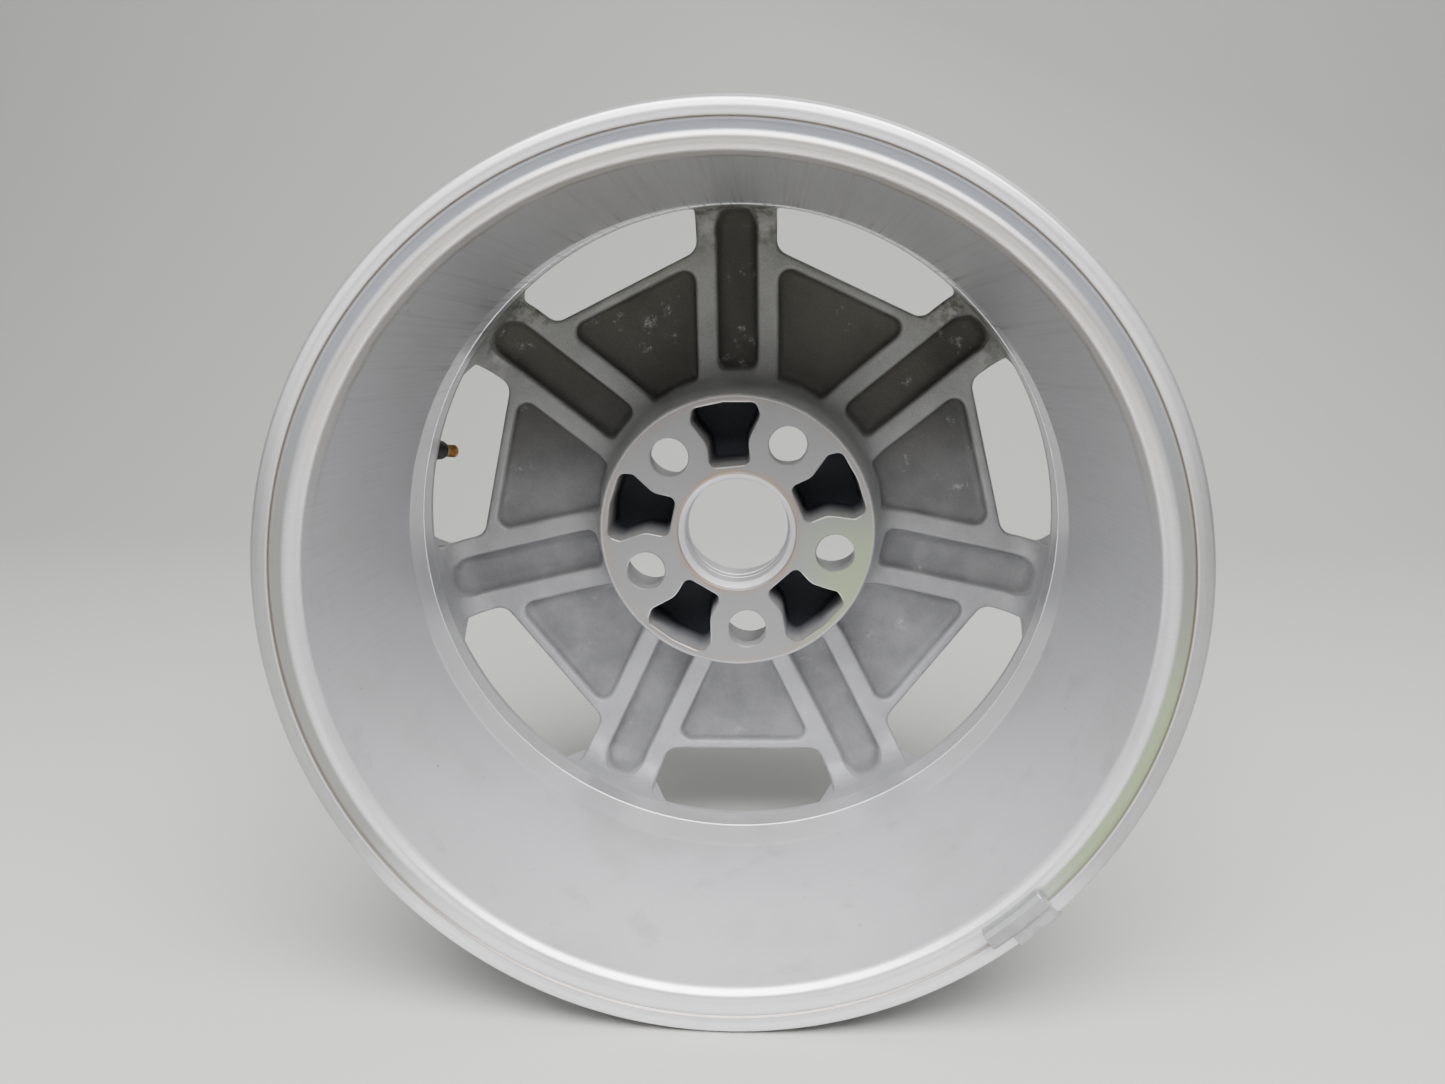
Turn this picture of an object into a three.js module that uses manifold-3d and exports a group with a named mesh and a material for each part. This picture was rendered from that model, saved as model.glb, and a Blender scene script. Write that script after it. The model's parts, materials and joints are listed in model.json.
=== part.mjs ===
// Alloy road-car wheel, 16 x 8 J, seven spokes, with its snap-in valve and one
// clip-on balance weight. Millimetres. The wheel spins about +Y: -Y is the inboard
// (brake) side, +Y the outboard (kerb) side, +Z is up. The origin is on the axle
// line, midway between the two rim flanges.
import * as THREE from 'three';
import { mergeVertices } from 'three/addons/utils/BufferGeometryUtils.js';
import Module from 'manifold-3d';

const wasm = await Module();
wasm.setup();

// ---------------------------------------------------------------- dimensions

const GAP = 0.3;
const AROUND = 63;

// The rim: 8 inches between the flanges' inner faces, 16 inch bead seats.
const HALF_RIM = 101.6;
const FLANGE_THICK = 7;
const FACE = HALF_RIM + FLANGE_THICK;
const FLANGE_R = 220.3;
const SEAT_R = 202.8;

// The hub mounting pad stands this far outboard of the rim's middle plane.
const OFFSET = 43;
const BOLT_COUNT = 5;
const BOLT_CIRCLE_R = 114.3 / 2;
const BOLT_PHASE = 60.1;
const LUG_HOLE_R = 10.8;
const LUG_WELL_R = 17;
const LUG_SEAT_Y = OFFSET + 10;
const HUB_BORE_R = 30.05;
const PAD_R = 76;
const HUB_FRONT_Y = OFFSET + 55;

// Lightening pockets in the pad, midway between the lug holes.
const PAD_POCKET_DEPTH = 36;
const PAD_POCKET_PHASE = 24.1;

// The spokes: two ribs each side of a long pocket, on the back of a front skin.
const SPOKE_COUNT = 7;
const SPOKE_PHASE = 90.9;
const SPOKE_PITCH = 360 / SPOKE_COUNT;
const RIB_BACK_Y = OFFSET + 51;
const SPOKE_FRONT_Y = OFFSET + 65.2;
const SPOKE_HALF_WIDTH = 23.6;
const GROOVE_HALF_WIDTH = 12.2;
const GROOVE_FLOOR_Y = OFFSET + 59.5;
const GROOVE_IN_R = 88;
const GROOVE_OUT_R = 179;

// Closed three-sided pockets between the spokes, and the open windows past them.
// On the front a shallow panel between the spokes makes them stand out.
const WEB_POCKET_FLOOR_Y = OFFSET + 57.6;
const WEB_FRONT_Y = OFFSET + 62.4;
const WEB_FRONT_IN_R = 96;
const WEB_POCKET_IN_R = 85.5;
const WEB_POCKET_OUT = 145;
const WINDOW_IN = 151;

// The drop centre of the rim, where the windows and the valve are.
const WELL_IN_R = 180.5;
const WELL_EDGE_Y = OFFSET + 18;
const SLOPE_TOP_R = 196;
const SLOPE_TOP_Y = OFFSET + 37;

// The valve, square to the sloping wall of the drop centre.
const VALVE_ANGLE = 167.2;
const VALVE_TILT = 39.2;
const VALVE_SEAT_R = 189.3;
const VALVE_SEAT_Y = OFFSET + 28.8;
const VALVE_HOLE_R = 5.85;
const VALVE_WALL = 4.4;
const VALVE_OUT = 20;

// The balance weight on the inboard flange.
const WEIGHT_ANGLE = 312.1;
const WEIGHT_HALF_SPAN = 4.7;
const CLIP_ANGLE = 313.4;
const CLIP_HALF_SPAN = 3.2;

// ---------------------------------------------------------------- materials

function material(color, roughness, metalness) {
  return new THREE.MeshStandardMaterial({ color, roughness, metalness });
}

const alloy = material(0x9b9b9c, 0.45, 0.9);
const rubber = material(0x1d1d1e, 0.75, 0.0);
const brass = material(0xb28a4c, 0.4, 0.9);
const steel = material(0x8d9094, 0.35, 0.95);
const seal = material(0x7c1f1c, 0.7, 0.0);
const zinc = material(0xa9acaf, 0.5, 0.85);

// ---------------------------------------------------------------- geometry tools

const rad = THREE.MathUtils.degToRad;

// A closed three.js geometry as a manifold-3d solid.
function solid(geometry, matrix = new THREE.Matrix4()) {
  const bare = geometry.clone();
  bare.deleteAttribute('normal');
  bare.deleteAttribute('uv');
  bare.applyMatrix4(matrix);
  const merged = mergeVertices(bare, 1e-4);
  return new wasm.Manifold(new wasm.Mesh({
    numProp: 3,
    vertProperties: new Float32Array(merged.attributes.position.array),
    triVerts: new Uint32Array(merged.index.array),
  }));
}

// A manifold-3d solid as a three.js geometry.
function geometryOf(manifold) {
  const mesh = manifold.getMesh();
  const geometry = new THREE.BufferGeometry();
  geometry.setAttribute('position', new THREE.BufferAttribute(mesh.vertProperties, 3));
  geometry.setIndex(new THREE.BufferAttribute(mesh.triVerts, 1));
  geometry.computeVertexNormals();
  return geometry;
}

function joined(solids) {
  return solids.reduce((whole, piece) => whole.add(piece));
}

// A list of [radius, height] pairs as points, anticlockwise, for a lathe.
function profilePoints(profile) {
  const points = profile.map(([r, h]) => new THREE.Vector2(r, h));
  return THREE.ShapeUtils.area(points) < 0 ? points.reverse() : points;
}

// A solid of revolution about Z whose profile starts and ends on the axis.
function revolved(profile, segments = 16) {
  return new THREE.LatheGeometry(profilePoints(profile), segments).rotateX(Math.PI / 2);
}

// A ring about Z, whose profile closes on itself.
function ring(profile, segments = 16) {
  const points = profilePoints(profile);
  return new THREE.LatheGeometry([...points, points[0]], segments).rotateX(Math.PI / 2);
}

// A ring about the wheel's axle, +Y, from [radius, y] pairs.
function wheelRing(profile) {
  const points = profilePoints(profile);
  return new THREE.LatheGeometry([...points, points[0]], AROUND);
}

// A polygon with rounded corners, from a list of [x, y, corner radius]; a radius of
// 0 keeps the corner sharp.
function roundedShape(corners, steps = 3) {
  const points = [];
  corners.forEach(([x, y, radius], i) => {
    const here = new THREE.Vector2(x, y);
    const before = corners[(i + corners.length - 1) % corners.length];
    const after = corners[(i + 1) % corners.length];
    const back = new THREE.Vector2(before[0] - x, before[1] - y).normalize();
    const ahead = new THREE.Vector2(after[0] - x, after[1] - y).normalize();
    const half = Math.acos(THREE.MathUtils.clamp(back.dot(ahead), -1, 1)) / 2;
    const reach = radius / Math.tan(half);
    const start = here.clone().addScaledVector(back, reach);
    const end = here.clone().addScaledVector(ahead, reach);
    const curve = new THREE.QuadraticBezierCurve(start, here, end);
    points.push(...(radius > 0 ? curve.getPoints(steps) : [here]));
  });
  return new THREE.Shape(points.filter((p, i) => p.distanceTo(points.at(i - 1)) > 0.05));
}

// A prism through the wheel from y0 to y1. The shape's +Y points away from the
// axle at the given angle, and its +X points clockwise as seen from inboard.
function prismAcross(shape, y0, y1, angle) {
  const prism = new THREE.ExtrudeGeometry(shape, { depth: y1 - y0, bevelEnabled: false });
  const turn = new THREE.Matrix4().makeRotationX(Math.PI / 2);
  const place = new THREE.Matrix4().makeTranslation(0, y1, 0);
  const spin = new THREE.Matrix4().makeRotationY(rad(90 - angle));
  return solid(prism, spin.multiply(place).multiply(turn));
}

// A cone or cylinder along the wheel's axle direction, off the axle at an angle.
function plugAcross(r0, r1, y0, y1, radius, angle, segments = 16) {
  const plug = new THREE.CylinderGeometry(r1, r0, y1 - y0, segments);
  plug.translate(radius * Math.cos(rad(angle)), (y0 + y1) / 2, radius * Math.sin(rad(angle)));
  return solid(plug);
}

// ---------------------------------------------------------------- the wheel body

function rimSolid() {
  return solid(wheelRing([
    // tapering barrel, then the machined drop centre with its small step
    [196.7, -FACE + 5], [180.2, OFFSET - 26.5], [182.4, OFFSET - 20],
    [182.4, OFFSET + 3.6], [WELL_IN_R, OFFSET + 5.4],
    // behind the spokes the wall slopes out to the outboard bead seat
    [WELL_IN_R, WELL_EDGE_Y], [SLOPE_TOP_R, SLOPE_TOP_Y], [SLOPE_TOP_R, OFFSET + 59],
    [204, OFFSET + 62], [206.5, FACE],
    // outboard flange, bead seat and hump
    [216, FACE], [FLANGE_R, FACE - 3.4], [219, HALF_RIM], [208, HALF_RIM],
    [SEAT_R, HALF_RIM - 6], [SEAT_R - 1.6, OFFSET + 38.8], [SEAT_R, OFFSET + 35],
    // outside of the drop centre and of the barrel
    [186.2, OFFSET + 13], [186.2, OFFSET - 28], [195.6, -FACE + 44],
    // inboard hump, bead seat and flange
    [SEAT_R, -FACE + 32], [SEAT_R - 1.6, -FACE + 27], [SEAT_R, -FACE + 13],
    [208, -HALF_RIM], [219, -HALF_RIM], [FLANGE_R, -FACE + 4], [218, -FACE + 1],
    [213, -FACE], [209.6, -FACE + 2.2], [198.6, -FACE + 2.2],
  ]));
}

function hubAndSpokeDisc() {
  return solid(wheelRing([
    // front face, from the rim to the cap recess
    [199, OFFSET + 60.5], [184, SPOKE_FRONT_Y], [84, SPOKE_FRONT_Y],
    [76, HUB_FRONT_Y], [33.5, HUB_FRONT_Y], [33.5, OFFSET + 26],
    // stepped centre bore and its chamfer
    [29, OFFSET + 23], [29, OFFSET + 14.6], [HUB_BORE_R, OFFSET + 14],
    [HUB_BORE_R, OFFSET + 3.8], [33.9, OFFSET],
    // pad, boss wall and the back of the ribs
    [PAD_R, OFFSET], [79.4, OFFSET + 2.4], [82.4, OFFSET + 27], [86, OFFSET + 39],
    [93, OFFSET + 47.6], [106, RIB_BACK_Y], [162.5, RIB_BACK_Y], [173, OFFSET + 47.8],
    [WELL_IN_R, OFFSET + 33], [WELL_IN_R, OFFSET + 22], [184, OFFSET + 22],
    [199, OFFSET + 39],
  ]));
}

// The space inside the sloping wall, which stops the windows from cutting the rim.
function insideSlope() {
  const slack = 0.15;
  const points = profilePoints([
    [0, WELL_EDGE_Y], [WELL_IN_R + slack, WELL_EDGE_Y], [SLOPE_TOP_R + slack, SLOPE_TOP_Y],
    [SLOPE_TOP_R + slack, OFFSET + 70], [0, OFFSET + 70],
  ]);
  return solid(new THREE.LatheGeometry(points, AROUND));
}

// Where a line parallel to a spoke's middle, this far to its side, stands across
// from the middle of the window, at a distance out along the window's middle line.
function besideSpoke(offset, out) {
  const half = rad(SPOKE_PITCH / 2);
  return out * Math.tan(half) - offset / Math.cos(half);
}

function windows() {
  const inner = besideSpoke(SPOKE_HALF_WIDTH, WINDOW_IN);
  const outer = besideSpoke(SPOKE_HALF_WIDTH, 192);
  const shape = roundedShape([
    [-inner, WINDOW_IN, 8], [inner, WINDOW_IN, 8], [outer, 192, 12],
    [0, 215, 20], [-outer, 192, 12],
  ]);
  const cuts = [];
  for (let i = 0; i < SPOKE_COUNT; i += 1) {
    const angle = SPOKE_PHASE + (i + 0.5) * SPOKE_PITCH;
    cuts.push(prismAcross(shape, OFFSET + 10, OFFSET + 75, angle));
  }
  return joined(cuts).intersect(insideSlope());
}

function spokeGrooves() {
  const w = GROOVE_HALF_WIDTH;
  const shape = roundedShape([
    [-w, GROOVE_IN_R, 5], [w, GROOVE_IN_R, 5], [w, GROOVE_OUT_R, w], [-w, GROOVE_OUT_R, w],
  ]);
  const floor = roundedShape([
    [3 - w, GROOVE_IN_R + 3, 4], [w - 3, GROOVE_IN_R + 3, 4],
    [w - 3, GROOVE_OUT_R - 3, w - 3], [3 - w, GROOVE_OUT_R - 3, w - 3],
  ]);
  const cuts = [];
  for (let i = 0; i < SPOKE_COUNT; i += 1) {
    const angle = SPOKE_PHASE + i * SPOKE_PITCH;
    cuts.push(prismAcross(shape, OFFSET + 30, GROOVE_FLOOR_Y - 2.5, angle));
    cuts.push(prismAcross(floor, OFFSET + 30, GROOVE_FLOOR_Y, angle));
  }
  return joined(cuts);
}

function webPocketShape(inset) {
  const side = SPOKE_HALF_WIDTH + 0.4 + inset;
  const out = WEB_POCKET_OUT - inset;
  const top = besideSpoke(side, out);
  const inner = besideSpoke(side, WEB_POCKET_IN_R + 1);
  const sag = WEB_POCKET_IN_R + inset;
  return roundedShape([
    [-inner, sag - 1, 0], [0, sag + 0.6, 0], [inner, sag - 1, 0],
    [top, out, 7], [-top, out, 7],
  ], 2);
}

function webPockets() {
  const cuts = [];
  for (let i = 0; i < SPOKE_COUNT; i += 1) {
    const angle = SPOKE_PHASE + (i + 0.5) * SPOKE_PITCH;
    cuts.push(prismAcross(webPocketShape(0), OFFSET + 20, WEB_POCKET_FLOOR_Y - 2.5, angle));
    cuts.push(prismAcross(webPocketShape(3), OFFSET + 20, WEB_POCKET_FLOOR_Y, angle));
  }
  return joined(cuts);
}

// Shallow panels between the spokes on the front face.
function webFronts() {
  const side = SPOKE_HALF_WIDTH + 3.4;
  const top = besideSpoke(side, WEB_POCKET_OUT + 0.5);
  const inner = besideSpoke(side, WEB_FRONT_IN_R);
  const shape = roundedShape([
    [-inner, WEB_FRONT_IN_R, 4], [inner, WEB_FRONT_IN_R, 4],
    [top, WEB_POCKET_OUT + 0.5, 8], [-top, WEB_POCKET_OUT + 0.5, 8],
  ], 2);
  const cuts = [];
  for (let i = 0; i < SPOKE_COUNT; i += 1) {
    const angle = SPOKE_PHASE + (i + 0.5) * SPOKE_PITCH;
    cuts.push(prismAcross(shape, WEB_FRONT_Y, OFFSET + 75, angle));
  }
  return joined(cuts);
}

// Waisted pockets whose sides run round the neighbouring lug holes.
function padPockets() {
  const shape = roundedShape([
    [-11.5, 37.8, 4], [11.5, 37.8, 4], [11.6, 51, 12], [19.8, 64.5, 3],
    [18.2, 72, 4.5], [0, 74, 0], [-18.2, 72, 4.5], [-19.8, 64.5, 3], [-11.6, 51, 12],
  ]);
  const cuts = [];
  for (let i = 0; i < BOLT_COUNT; i += 1) {
    const angle = PAD_POCKET_PHASE + i * 72;
    cuts.push(prismAcross(shape, OFFSET - 5, OFFSET + PAD_POCKET_DEPTH, angle));
  }
  return joined(cuts);
}

// Straight holes from the pad, opening by a conical seat into wide nut wells.
function lugHoles() {
  const seatDepth = (LUG_WELL_R - LUG_HOLE_R) * 1.73;
  const wellY = LUG_SEAT_Y + seatDepth;
  const cuts = [];
  for (let i = 0; i < BOLT_COUNT; i += 1) {
    const angle = BOLT_PHASE + i * 72;
    const at = [BOLT_CIRCLE_R, angle];
    cuts.push(plugAcross(LUG_HOLE_R, LUG_HOLE_R, OFFSET - 5, LUG_SEAT_Y + 1, ...at));
    cuts.push(plugAcross(LUG_HOLE_R, LUG_WELL_R, LUG_SEAT_Y, wellY, ...at));
    cuts.push(plugAcross(LUG_WELL_R, LUG_WELL_R, wellY, HUB_FRONT_Y + 5, ...at));
  }
  return joined(cuts);
}

// The valve's own frame: origin on the inside of the sloping wall, +Z towards its tip.
function valveFrame() {
  const angle = rad(VALVE_ANGLE);
  const outward = new THREE.Vector3(Math.cos(angle), 0, Math.sin(angle));
  const across = new THREE.Vector3(0, 1, 0);
  const axis = outward.clone().multiplyScalar(-Math.cos(rad(VALVE_TILT)));
  axis.addScaledVector(across, Math.sin(rad(VALVE_TILT)));
  const side = new THREE.Vector3().crossVectors(across, outward).normalize();
  const third = new THREE.Vector3().crossVectors(axis, side);
  const frame = new THREE.Matrix4().makeBasis(side, third, axis);
  const seat = outward.multiplyScalar(VALVE_SEAT_R).addScaledVector(across, VALVE_SEAT_Y);
  return frame.setPosition(seat);
}

// The round valve hole, with a flat seat for the valve's head on the tyre side.
function valveHole() {
  const hole = revolved([
    [0, -24], [11, -24], [11, -VALVE_WALL], [VALVE_HOLE_R, -VALVE_WALL],
    [VALVE_HOLE_R, 6], [0, 6],
  ], 20);
  return solid(hole, valveFrame());
}

function wheelBody() {
  const disc = hubAndSpokeDisc().subtract(windows());
  const backs = spokeGrooves().add(webPockets()).add(padPockets());
  const cuts = backs.add(webFronts()).add(lugHoles()).add(valveHole());
  return geometryOf(rimSolid().add(disc).subtract(cuts));
}

// ---------------------------------------------------------------- the valve

// Heights below are along the valve, from the inside of the wheel's wall; the
// tyre is at negative heights and the tip is at VALVE_OUT.
const INSERT_R = 3.85;
const INSERT_FOOT = -7.5;
const RUBBER_END = VALVE_OUT - 7.5;
const BORE_TOP_R = 2.65;
const BORE_LOW_R = 1.9;
const BORE_STEP = 8;

function valveRubber() {
  const inside = INSERT_R - 0.6 + GAP;
  return ring([
    [inside, -8.4], [7.2, -8.4], [9.3, -6.4], [9.3, -VALVE_WALL - GAP],
    [VALVE_HOLE_R - GAP, -VALVE_WALL - GAP], [VALVE_HOLE_R - GAP, GAP],
    [7.4, GAP], [7.2, 2.2], [5.3, RUBBER_END - 1.2], [4.7, RUBBER_END], [inside, RUBBER_END],
  ], 20);
}

function valveInsert() {
  const low = INSERT_R - 0.6;
  return ring([
    [BORE_LOW_R, INSERT_FOOT], [low, INSERT_FOOT], [low, RUBBER_END + GAP],
    [INSERT_R, RUBBER_END + GAP], [INSERT_R, VALVE_OUT - 0.8], [INSERT_R - 0.7, VALVE_OUT],
    [BORE_TOP_R, VALVE_OUT], [BORE_TOP_R, BORE_STEP + 0.8], [BORE_LOW_R, BORE_STEP],
  ], 20);
}

// The core: a threaded plug holds a small barrel, which seals by a gasket on the
// stem's bore. A pin runs through both. A spring in the barrel lifts the pin by its
// collar, and so holds the cup and its seal against the barrel's foot.
const PIN_R = 0.45;
const PIN_TOP = VALVE_OUT - 0.3;
const CUP_LOW = 2;
const CUP_TOP = 3.6;
const BARREL_LOW = 5.2;
const BARREL_FLOOR = 6.4;
const BARREL_TOP = 12.9;
const BARREL_IN_R = 1.4;
const GASKET_LOW = 9.4;
const GASKET_TOP = 11.6;
const COLLAR_LOW = 11.6;
const PLUG_LOW = BARREL_TOP + GAP;

function corePlug() {
  return ring([
    [PIN_R + GAP, PLUG_LOW], [BORE_TOP_R - GAP, PLUG_LOW], [BORE_TOP_R - GAP, PLUG_LOW + 3.4],
    [1.5, PLUG_LOW + 3.8], [1.5, PLUG_LOW + 5.4], [PIN_R + GAP, PLUG_LOW + 5.4],
  ]);
}

function coreBarrel() {
  return ring([
    [PIN_R + GAP, BARREL_FLOOR], [PIN_R + GAP, BARREL_LOW], [1.6, BARREL_LOW],
    [1.6, BORE_STEP - 0.2], [1.75, BORE_STEP], [1.75, GASKET_TOP], [2.2, GASKET_TOP],
    [2.2, BARREL_TOP], [BARREL_IN_R, BARREL_TOP], [BARREL_IN_R, BARREL_FLOOR],
  ]);
}

function coreGasket() {
  return ring([
    [1.75 + GAP, GASKET_LOW + GAP], [BORE_TOP_R - 0.1, GASKET_LOW + GAP],
    [BORE_TOP_R - 0.1, GASKET_TOP - GAP], [1.75 + GAP, GASKET_TOP - GAP],
  ]);
}

function corePin() {
  return revolved([
    [0, CUP_LOW - 0.6], [0.9, CUP_LOW - 0.6], [0.9, CUP_LOW - 0.3], [PIN_R, CUP_LOW - 0.3],
    [PIN_R, COLLAR_LOW], [1.1, COLLAR_LOW], [1.1, COLLAR_LOW + 0.6], [PIN_R, COLLAR_LOW + 0.6],
    [PIN_R, PIN_TOP - 0.2], [PIN_R - 0.2, PIN_TOP], [0, PIN_TOP],
  ], 12);
}

function coreCup() {
  return ring([
    [PIN_R + GAP, CUP_LOW], [1.55, CUP_LOW], [1.55, CUP_TOP], [PIN_R + GAP, CUP_TOP],
  ]);
}

function coreSeal() {
  return ring([
    [PIN_R + GAP, CUP_TOP + GAP], [1.45, CUP_TOP + GAP], [1.45, BARREL_LOW - GAP],
    [PIN_R + GAP, BARREL_LOW - GAP],
  ]);
}

class Coil extends THREE.Curve {
  constructor(radius, low, high, turns) {
    super();
    Object.assign(this, { radius, low, high, turns });
  }

  getPoint(t) {
    const angle = 2 * Math.PI * this.turns * t;
    const height = this.low + (this.high - this.low) * t;
    return new THREE.Vector3(
      this.radius * Math.cos(angle), this.radius * Math.sin(angle), height,
    );
  }
}

// The spring is drawn at its pressed length, which leaves the collar its travel.
const PIN_TRAVEL = 1.2;
const SPRING_WIRE_R = 0.13;
const SPRING_LOW = BARREL_FLOOR + GAP;
const SPRING_HIGH = COLLAR_LOW - PIN_TRAVEL - GAP;

function coreSpring() {
  const middle = 1.1 - SPRING_WIRE_R;
  const coil = new Coil(middle, SPRING_LOW + SPRING_WIRE_R, SPRING_HIGH - SPRING_WIRE_R, 4.5);
  const section = new THREE.Shape();
  section.absarc(0, 0, SPRING_WIRE_R, 0, 2 * Math.PI, false);
  return new THREE.ExtrudeGeometry(section, {
    steps: 54, extrudePath: coil, curveSegments: 3, bevelEnabled: false,
  });
}

// ---------------------------------------------------------------- the balance weight

// A closed piece that follows the flange round the wheel: part of a turn of a
// profile of [radius, y] pairs, with a flat end at each side of its middle angle.
function alongFlange(profile, middle, halfSpan, steps) {
  const outline = profilePoints(profile);
  const sweep = new THREE.LatheGeometry([...outline, outline[0]], steps, 0, rad(2 * halfSpan));
  sweep.rotateY(rad(90 - middle - halfSpan));
  sweep.deleteAttribute('normal');
  sweep.deleteAttribute('uv');
  const corners = Array.from(sweep.toNonIndexed().attributes.position.array);
  const faces = THREE.ShapeUtils.triangulateShape(outline, []);
  [-halfSpan, halfSpan].forEach((side) => {
    const angle = rad(middle - side);
    faces.forEach((face) => {
      const order = side < 0 ? face : [...face].reverse();
      order.forEach((k) => {
        const { x, y } = outline[k];
        corners.push(x * Math.cos(angle), y, x * Math.sin(angle));
      });
    });
  });
  const closed = new THREE.BufferGeometry();
  closed.setAttribute('position', new THREE.Float32BufferAttribute(corners, 3));
  const merged = mergeVertices(closed, 1e-4);
  merged.computeVertexNormals();
  return merged;
}

// The lead-free weight lies on the flange's annular face, inside the raised lip.
function weightBody() {
  const y = -FACE;
  return alongFlange([
    [202.4, y + 2.2 - GAP], [202.4, y - 3], [204.2, y - 5], [209.8, y - 5.4],
    [211.7, y - 3.8], [212.4, y - GAP], [209.4, y + 2.2 - GAP],
  ], WEIGHT_ANGLE, WEIGHT_HALF_SPAN, 8);
}

// A spring-steel strip that hooks over the flange's lip and holds the weight.
function weightClip() {
  const y = -FACE;
  return alongFlange([
    [212.8, y - 1.5], [212.8, y - GAP], [218.2, y + 0.7], [220.7, y + 3.8],
    [219.4, -HALF_RIM + GAP], [213.5, -HALF_RIM + GAP], [213.5, -HALF_RIM + 1.4],
    [220, -HALF_RIM + 1.4], [221.9, y + 3.6], [218.8, y - 0.4],
  ], CLIP_ANGLE, CLIP_HALF_SPAN, 5);
}

// ---------------------------------------------------------------- assembly

const group = new THREE.Group();
const valve = new THREE.Group();
valve.applyMatrix4(valveFrame());
group.add(valve);

function place(parent, name, geometry, look) {
  const mesh = new THREE.Mesh(geometry, look);
  mesh.name = name;
  parent.add(mesh);
}

place(group, 'wheel_body', wheelBody(), alloy);
place(valve, 'valve_rubber_stem', valveRubber(), rubber);
place(valve, 'valve_brass_insert', valveInsert(), brass);
place(valve, 'valve_core_plug', corePlug(), brass);
place(valve, 'valve_core_barrel', coreBarrel(), brass);
place(valve, 'valve_core_gasket', coreGasket(), seal);
place(valve, 'valve_core_pin', corePin(), steel);
place(valve, 'valve_core_cup', coreCup(), brass);
place(valve, 'valve_core_seal', coreSeal(), seal);
place(valve, 'valve_core_spring', coreSpring(), steel);
place(group, 'balance_weight_body', weightBody(), zinc);
place(group, 'balance_weight_clip', weightClip(), steel);

export default group;
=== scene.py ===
"""The looks of an alloy road-car wheel, seen from its inboard side.

The wheel's casting is built here as one fine mesh: a turned rim, and a disc of hub
and spokes whose back and front are height fields over a plan of nested outlines.
Lengths are in millimetres until a mesh is made; y is measured from the hub pad,
and grows towards the kerb side.
"""
import json
import math

import bmesh
import bpy
import numpy as np
from mathutils import Matrix, Vector, kdtree
from mathutils.geometry import delaunay_2d_cdt


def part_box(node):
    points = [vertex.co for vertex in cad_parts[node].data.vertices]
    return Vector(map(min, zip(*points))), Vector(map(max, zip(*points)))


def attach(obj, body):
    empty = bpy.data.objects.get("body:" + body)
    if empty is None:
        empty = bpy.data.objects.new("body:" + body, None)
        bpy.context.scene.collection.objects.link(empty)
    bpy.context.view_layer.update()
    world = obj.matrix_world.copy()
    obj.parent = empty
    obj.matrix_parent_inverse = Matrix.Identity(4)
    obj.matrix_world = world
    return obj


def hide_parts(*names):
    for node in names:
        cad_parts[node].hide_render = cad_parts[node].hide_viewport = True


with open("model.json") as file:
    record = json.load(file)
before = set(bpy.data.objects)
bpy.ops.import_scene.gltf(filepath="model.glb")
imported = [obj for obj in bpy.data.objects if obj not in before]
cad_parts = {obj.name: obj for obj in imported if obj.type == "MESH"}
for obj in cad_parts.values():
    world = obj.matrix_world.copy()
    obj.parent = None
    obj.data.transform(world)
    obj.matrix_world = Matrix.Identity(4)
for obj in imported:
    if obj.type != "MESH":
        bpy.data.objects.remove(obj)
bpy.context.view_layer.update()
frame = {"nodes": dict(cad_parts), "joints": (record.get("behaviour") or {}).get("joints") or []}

# ------------------------------------------------------------------ dimensions

MM = 0.001
WHEEL_LOW, WHEEL_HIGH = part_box("wheel_body")
FACE = 65.6
PAD_Y = WHEEL_HIGH[1] / MM - FACE
BACK_FACE = WHEEL_LOW[1] / MM - PAD_Y
RIM_R = WHEEL_HIGH[2] / MM

SPOKES = 7
SPOKE_PHASE = 90.9
PITCH = 360 / SPOKES
HALF_WIDTH = 23.5
GROOVE_HALF = 12.0
RIB_Y = 51.0
GROOVE_Y = 59.5
WEB_Y = 57.6
WINDOW_IN = 151.0
BOLTS = 5
BOLT_PITCH = 360 / BOLTS
BOLT_R = 57.15
LUG_R = 10.8
WELL_R = 17.0
BORE_R = 33.9
RECESS_R = 35.3
BOLT_PHASE = 60.1
POCKET_PHASE = 24.1
POCKET_Y = 36.0
FRONT_Y = 65.2
END_R = 200.0

# ------------------------------------------------------------------ plane geometry


def unit(v):
    return v / max(np.linalg.norm(v), 1e-9)


def rounded(corners, steps=6, gap=5.0, closed=True):
    """Points round a polygon of (x, y, radius) corners, its long sides divided."""
    n = len(corners)
    points = []
    for i, (x, y, radius) in enumerate(corners):
        here = np.array([x, y], float)
        if radius <= 0 or (not closed and i in (0, n - 1)):
            points.append(here)
            continue
        back = unit(np.array(corners[i - 1][:2]) - here)
        ahead = unit(np.array(corners[(i + 1) % n][:2]) - here)
        half = math.acos(np.clip(back @ ahead, -1, 1)) / 2
        reach = radius / math.tan(half)
        centre = here + unit(back + ahead) * radius / math.sin(half)
        start = here + back * reach - centre
        end = here + ahead * reach - centre
        turn = math.atan2(start[0] * end[1] - start[1] * end[0], start @ end)
        for k in range(steps + 1):
            a = turn * k / steps
            c, s = math.cos(a), math.sin(a)
            points.append(centre + [c * start[0] - s * start[1], s * start[0] + c * start[1]])
    out = []
    count = len(points) if closed else len(points) - 1
    for i in range(count):
        a, b = points[i], points[(i + 1) % len(points)]
        length = np.linalg.norm(b - a)
        if length < 0.02:
            continue
        parts = max(1, math.ceil(length / gap))
        out += [a + (b - a) * k / parts for k in range(parts)]
    if not closed:
        out.append(points[-1])
    return np.array(out)


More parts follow.
